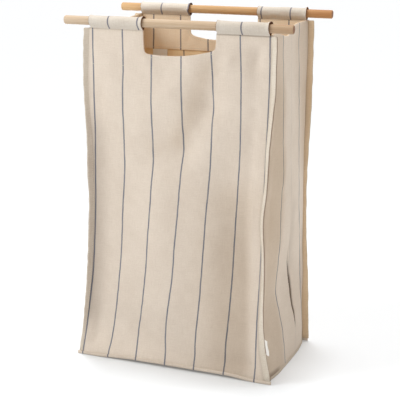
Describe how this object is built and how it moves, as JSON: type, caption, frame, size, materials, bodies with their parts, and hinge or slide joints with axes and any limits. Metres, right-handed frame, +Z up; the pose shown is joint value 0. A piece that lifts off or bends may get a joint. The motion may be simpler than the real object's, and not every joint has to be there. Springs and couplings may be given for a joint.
{
  "type": "laundry basket",
  "caption": "Tall free-standing canvas laundry bag with round wooden poles in cloth sleeves, hand holes below the poles and side walls that fold inwards.",
  "frame": {"origin": "middle of the bag's footprint, on the ground that it stands on", "axes": "+X to the right along the poles as seen from the front, +Y from the front wall to the back wall, +Z up"},
  "size_m": [0.448, 0.2674, 0.674],
  "materials": {
    "canvas": "matte",
    "shaded_canvas": "matte",
    "wood": "satin",
    "label_tape": "matte"
  },
  "bodies": {
    "base": {"bottom_panel": "shaded_canvas", "left_side_panel": "canvas", "right_side_panel": "canvas", "left_side_hem": "shaded_canvas", "right_side_hem": "shaded_canvas", "front_bottom_seam": "shaded_canvas", "back_bottom_seam": "shaded_canvas", "left_bottom_seam": "shaded_canvas", "right_bottom_seam": "shaded_canvas"},
    "front_wall": {"front_panel": "canvas", "front_facing": "shaded_canvas", "front_left_seam": "shaded_canvas", "front_right_seam": "shaded_canvas", "front_left_sleeve": "canvas", "front_right_sleeve": "canvas", "side_tab_label": "label_tape"},
    "back_wall": {"back_panel": "canvas", "back_facing": "shaded_canvas", "back_left_seam": "shaded_canvas", "back_right_seam": "shaded_canvas", "back_left_sleeve": "canvas", "back_right_sleeve": "canvas", "care_label": "label_tape"},
    "front_pole": {"front_pole": "wood"},
    "back_pole": {"back_pole": "wood"}
  },
  "joints": [
    {"name": "front_wall_fold", "type": "hinge", "parent": "base", "child": "front_wall", "pos_m": [0, -0.1252, 0.0063], "axis": [-1, 0, 0], "range_deg": [-2.5, 9.1], "deforming": ["left_side_panel", "right_side_panel", "left_side_hem", "right_side_hem"]},
    {"name": "back_wall_fold", "type": "hinge", "parent": "base", "child": "back_wall", "pos_m": [0, 0.1252, 0.0063], "axis": [1, 0, 0], "range_deg": [-2.5, 9.1], "deforming": ["left_side_panel", "right_side_panel", "left_side_hem", "right_side_hem"]},
    {"name": "front_pole_slide", "type": "slide", "parent": "front_wall", "child": "front_pole", "axis": [1, 0, 0], "range_m": [-0.37, 0.37]},
    {"name": "back_pole_slide", "type": "slide", "parent": "back_wall", "child": "back_pole", "axis": [1, 0, 0], "range_m": [-0.37, 0.37]}
  ]
}
